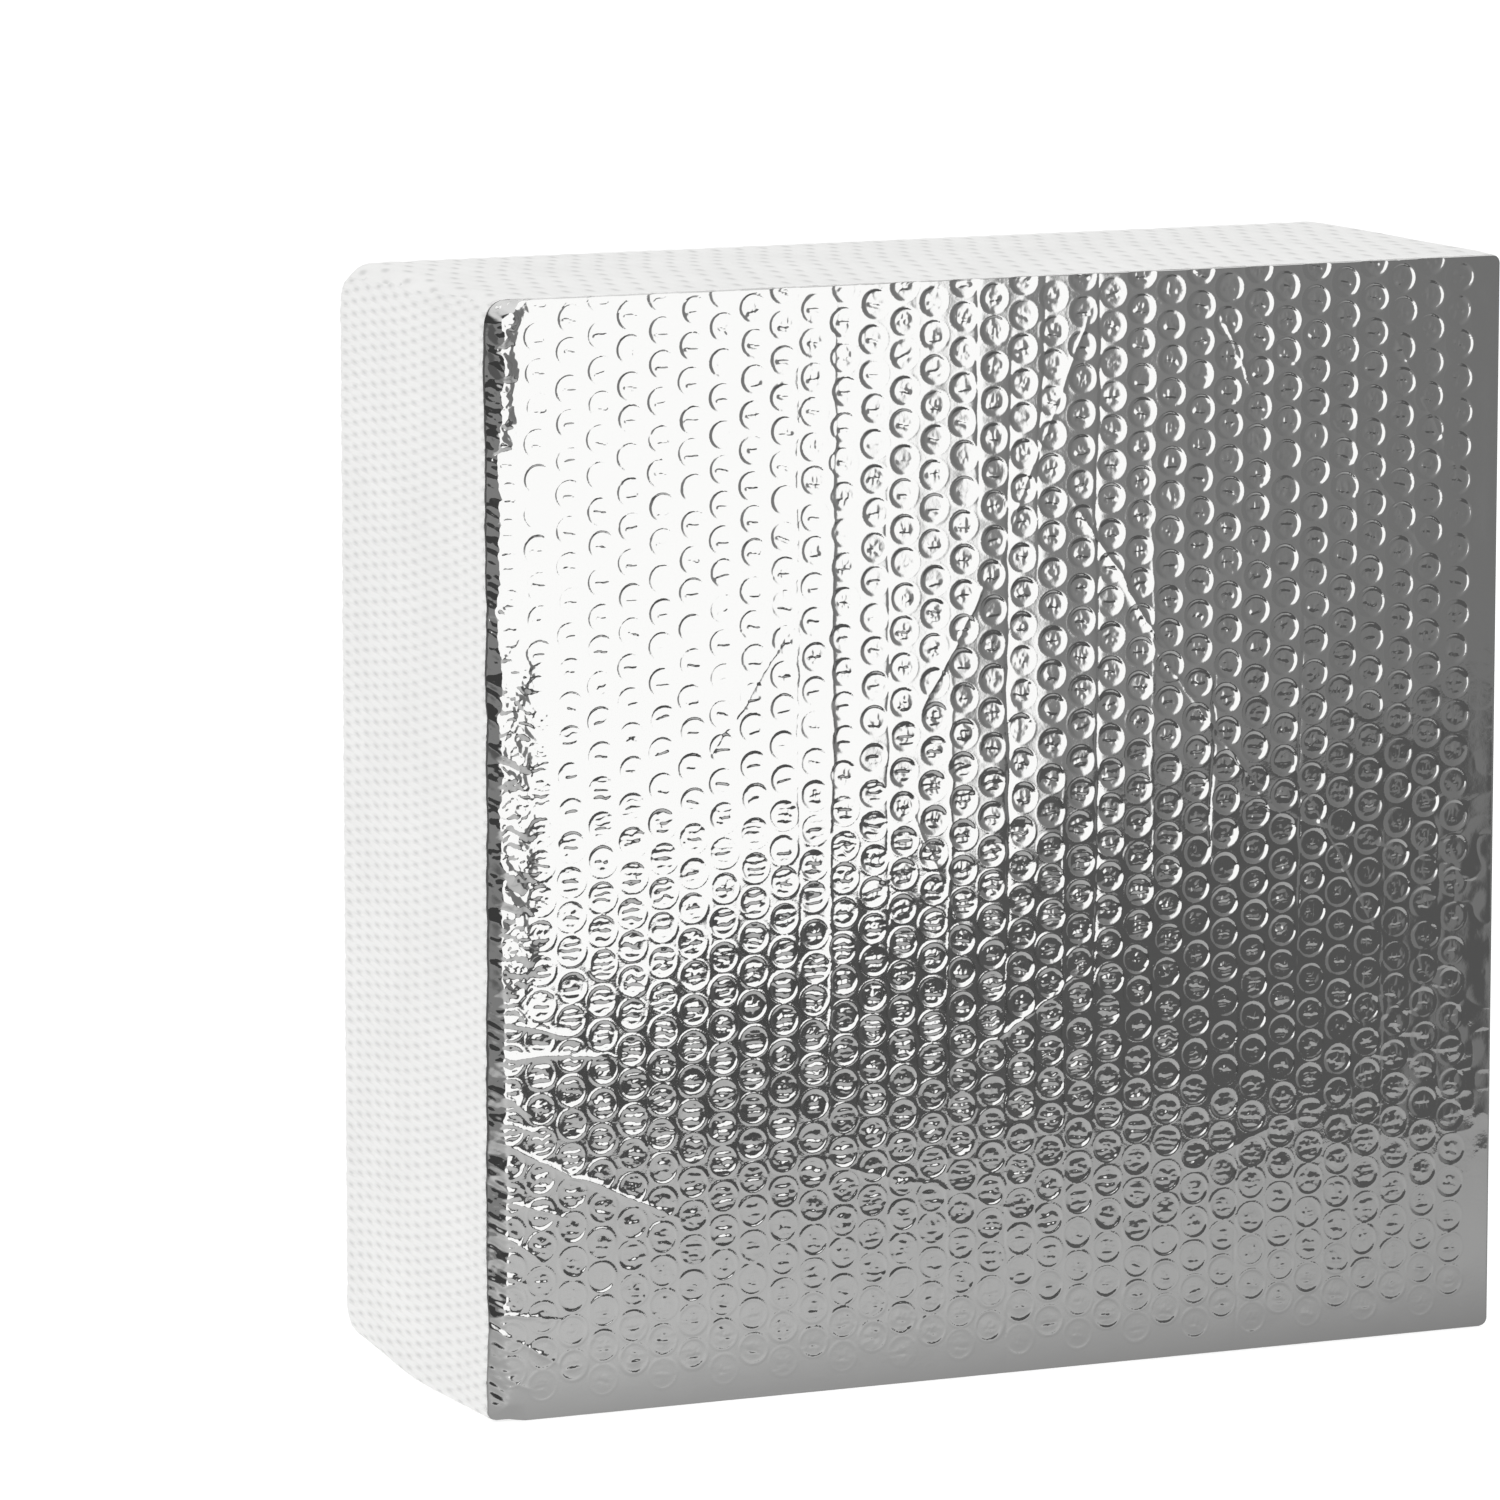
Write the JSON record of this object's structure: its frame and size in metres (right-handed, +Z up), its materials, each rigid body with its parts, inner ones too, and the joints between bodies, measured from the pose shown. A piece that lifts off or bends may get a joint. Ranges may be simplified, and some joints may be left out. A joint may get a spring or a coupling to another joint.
{
  "type": "roof vent insulating pad",
  "caption": "Thick square foam pad in a sewn white nonwoven cover, with a foil and air-bubble laminate as its front face, for insulating a roof vent opening",
  "frame": {"origin": "middle of the base edge that the pad stands on, centred across its width and depth", "axes": "X across the foil face, Y from the foil face at -Y to the back at +Y, Z up"},
  "size_m": [0.356, 0.127, 0.356],
  "materials": {
    "foam": "open-cell polyurethane foam",
    "cover_cloth": "white spunbonded nonwoven with bonded dimples",
    "foil": "bright aluminised film, creased",
    "film": "clear polyethylene film",
    "thread": "spun polyester thread"
  },
  "bodies": {
    "root": {"foam_core": "foam", "side_band": "cover_cloth", "back_panel": "cover_cloth", "foil_facing": "foil", "bubble_film": "film", "bubble_backing": "film", "front_seam_thread": "thread", "back_seam_thread": "thread", "band_seam_thread": "thread"}
  },
  "joints": []
}
